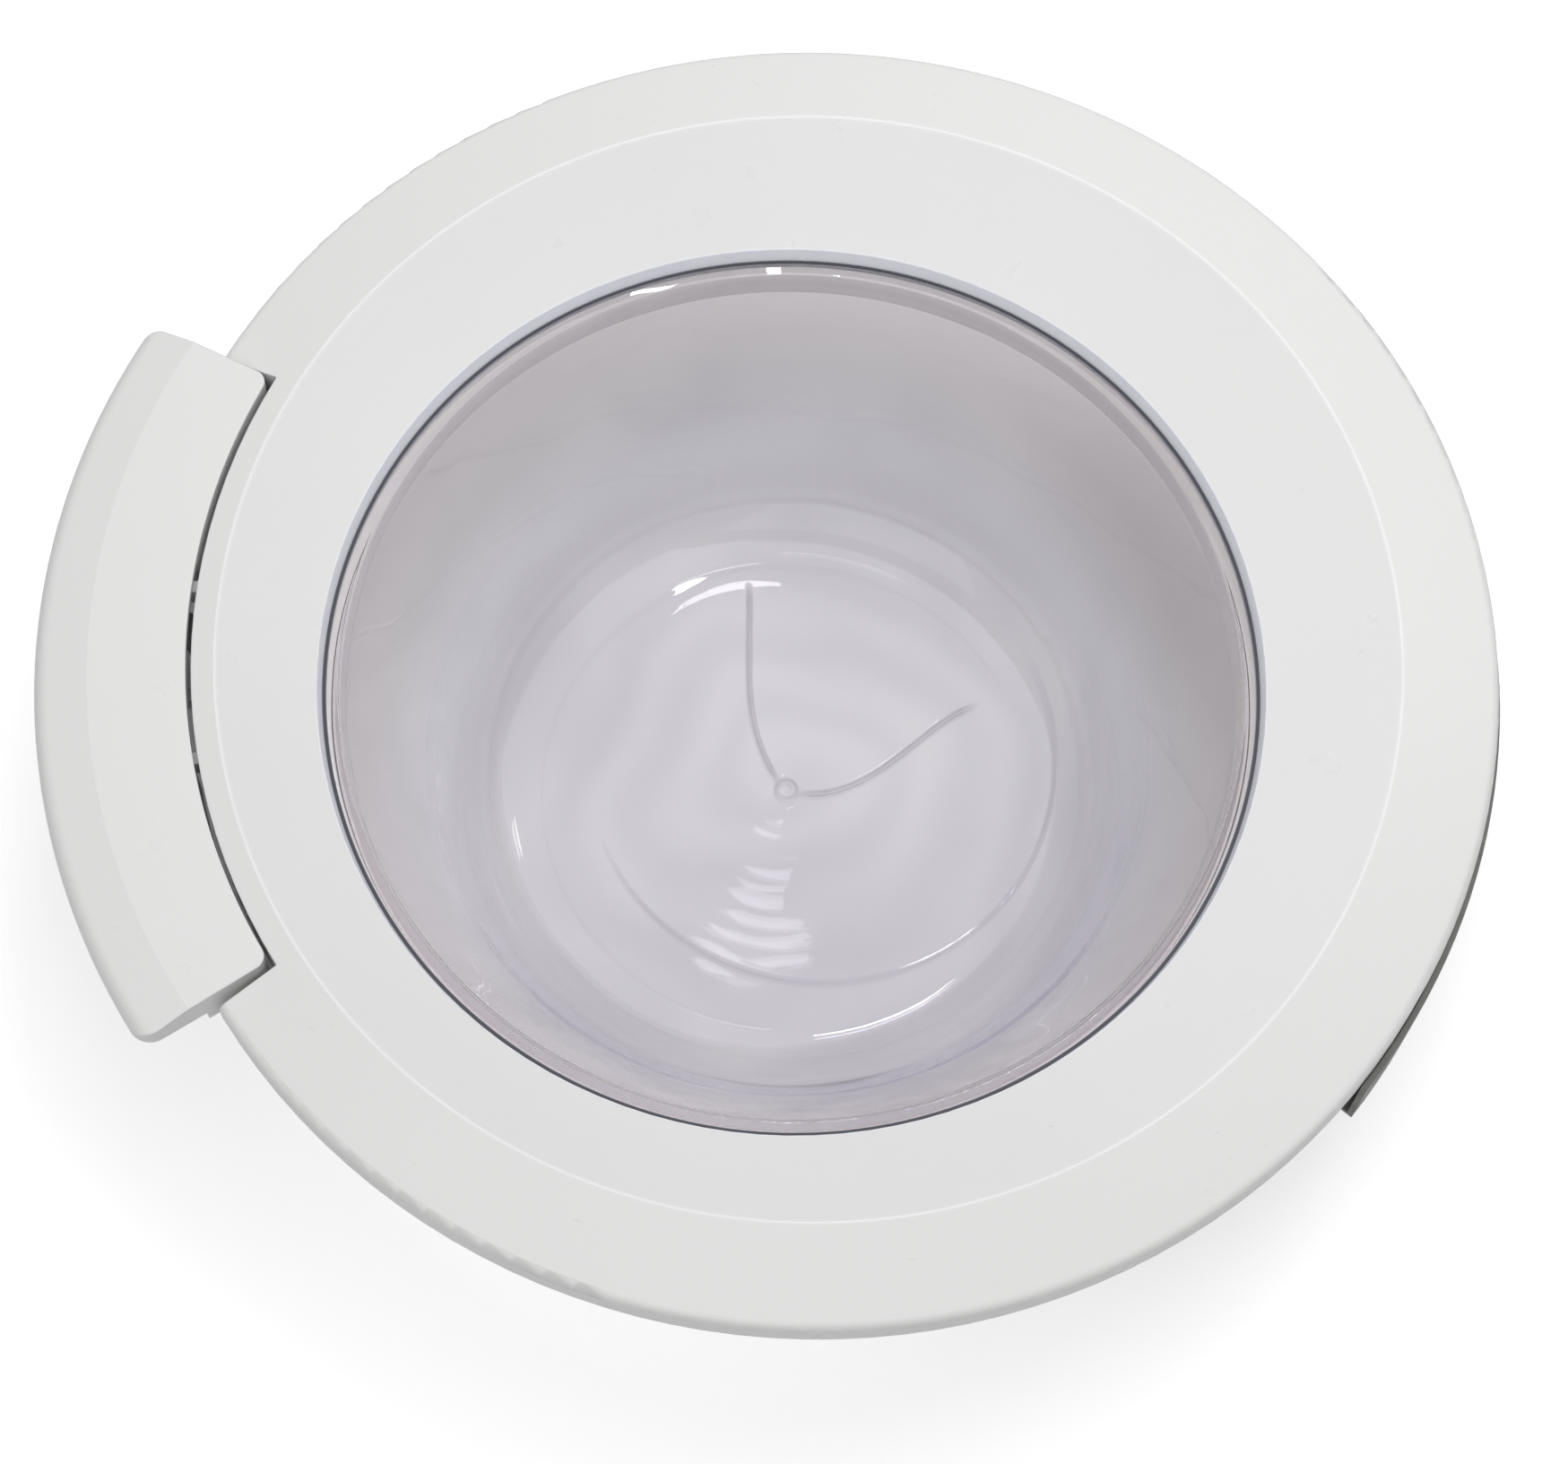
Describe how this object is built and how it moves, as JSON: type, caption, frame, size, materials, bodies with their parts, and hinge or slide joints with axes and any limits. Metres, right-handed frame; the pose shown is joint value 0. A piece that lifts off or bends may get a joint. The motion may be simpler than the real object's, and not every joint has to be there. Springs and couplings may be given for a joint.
{
  "type": "washing machine door",
  "caption": "Round white door of a front-loading washing machine with a clear glass bowl, a curved pull handle with a latch hook on one side and a folding hinge on the other.",
  "frame": {"origin": "centre of the flat foot of the glass bowl, on the bowl's axis, with the door lying face up", "axes": "+Z out of the front of the door, -X towards the handle, +X towards the hinge, +Y towards the top of the fitted door"},
  "size_m": [0.4828, 0.45, 0.1491],
  "materials": {
    "white_plastic": "smooth semi-gloss white moulding",
    "rear_plastic": "fine matt pale grey moulding",
    "glass": "clear pressed glass with a faint lilac tint",
    "seal_rubber": "smooth dark grey rubber",
    "steel": "zinc plated steel",
    "zinc": "cast, satin",
    "hinge_paint": "dark grey paint with a satin sheen",
    "nylon": "natural nylon"
  },
  "bodies": {
    "door": {"outer_frame": "white_plastic", "inner_frame": "rear_plastic", "glass_bowl": "glass", "glass_seal": "seal_rubber", "handle_pin": "steel", "handle_spring": "steel", "latch_housing": "zinc", "latch_pin": "steel", "latch_spring": "steel", "hinge_plate": "hinge_paint", "hinge_pin": "steel", "hinge_clip": "steel", "frame_screws": "steel", "hinge_screws": "steel", "latch_screws": "steel"},
    "handle": {"handle_cover": "white_plastic", "handle_back": "rear_plastic", "handle_screws": "steel"},
    "hook": {"latch_hook": "zinc"},
    "leaf": {"hinge_leaf": "hinge_paint", "hinge_bush_upper": "nylon", "hinge_bush_lower": "nylon"}
  },
  "joints": [
    {"name": "handle_pull", "type": "hinge", "parent": "door", "child": "handle", "pos_m": [-0.202, 0, 0.136], "axis": [0, 1, 0], "range_deg": [0, 8], "stiffness_Nm_per_rad": 1.2, "springref_deg": -14.32, "deforming": ["handle_spring"]},
    {"name": "hook_swing", "type": "hinge", "parent": "door", "child": "hook", "pos_m": [-0.18315, 0, 0.112], "axis": [0, 1, 0], "range_deg": [-6, 0], "deforming": ["latch_spring"]},
    {"name": "hinge_fold", "type": "hinge", "parent": "door", "child": "leaf", "pos_m": [0.221, 0, 0.0835], "axis": [0, -1, 0], "range_deg": [0, 165]}
  ],
  "couplings": [
    {"joint": "hook_swing", "follows": "handle_pull", "ratio": -0.75}
  ]
}
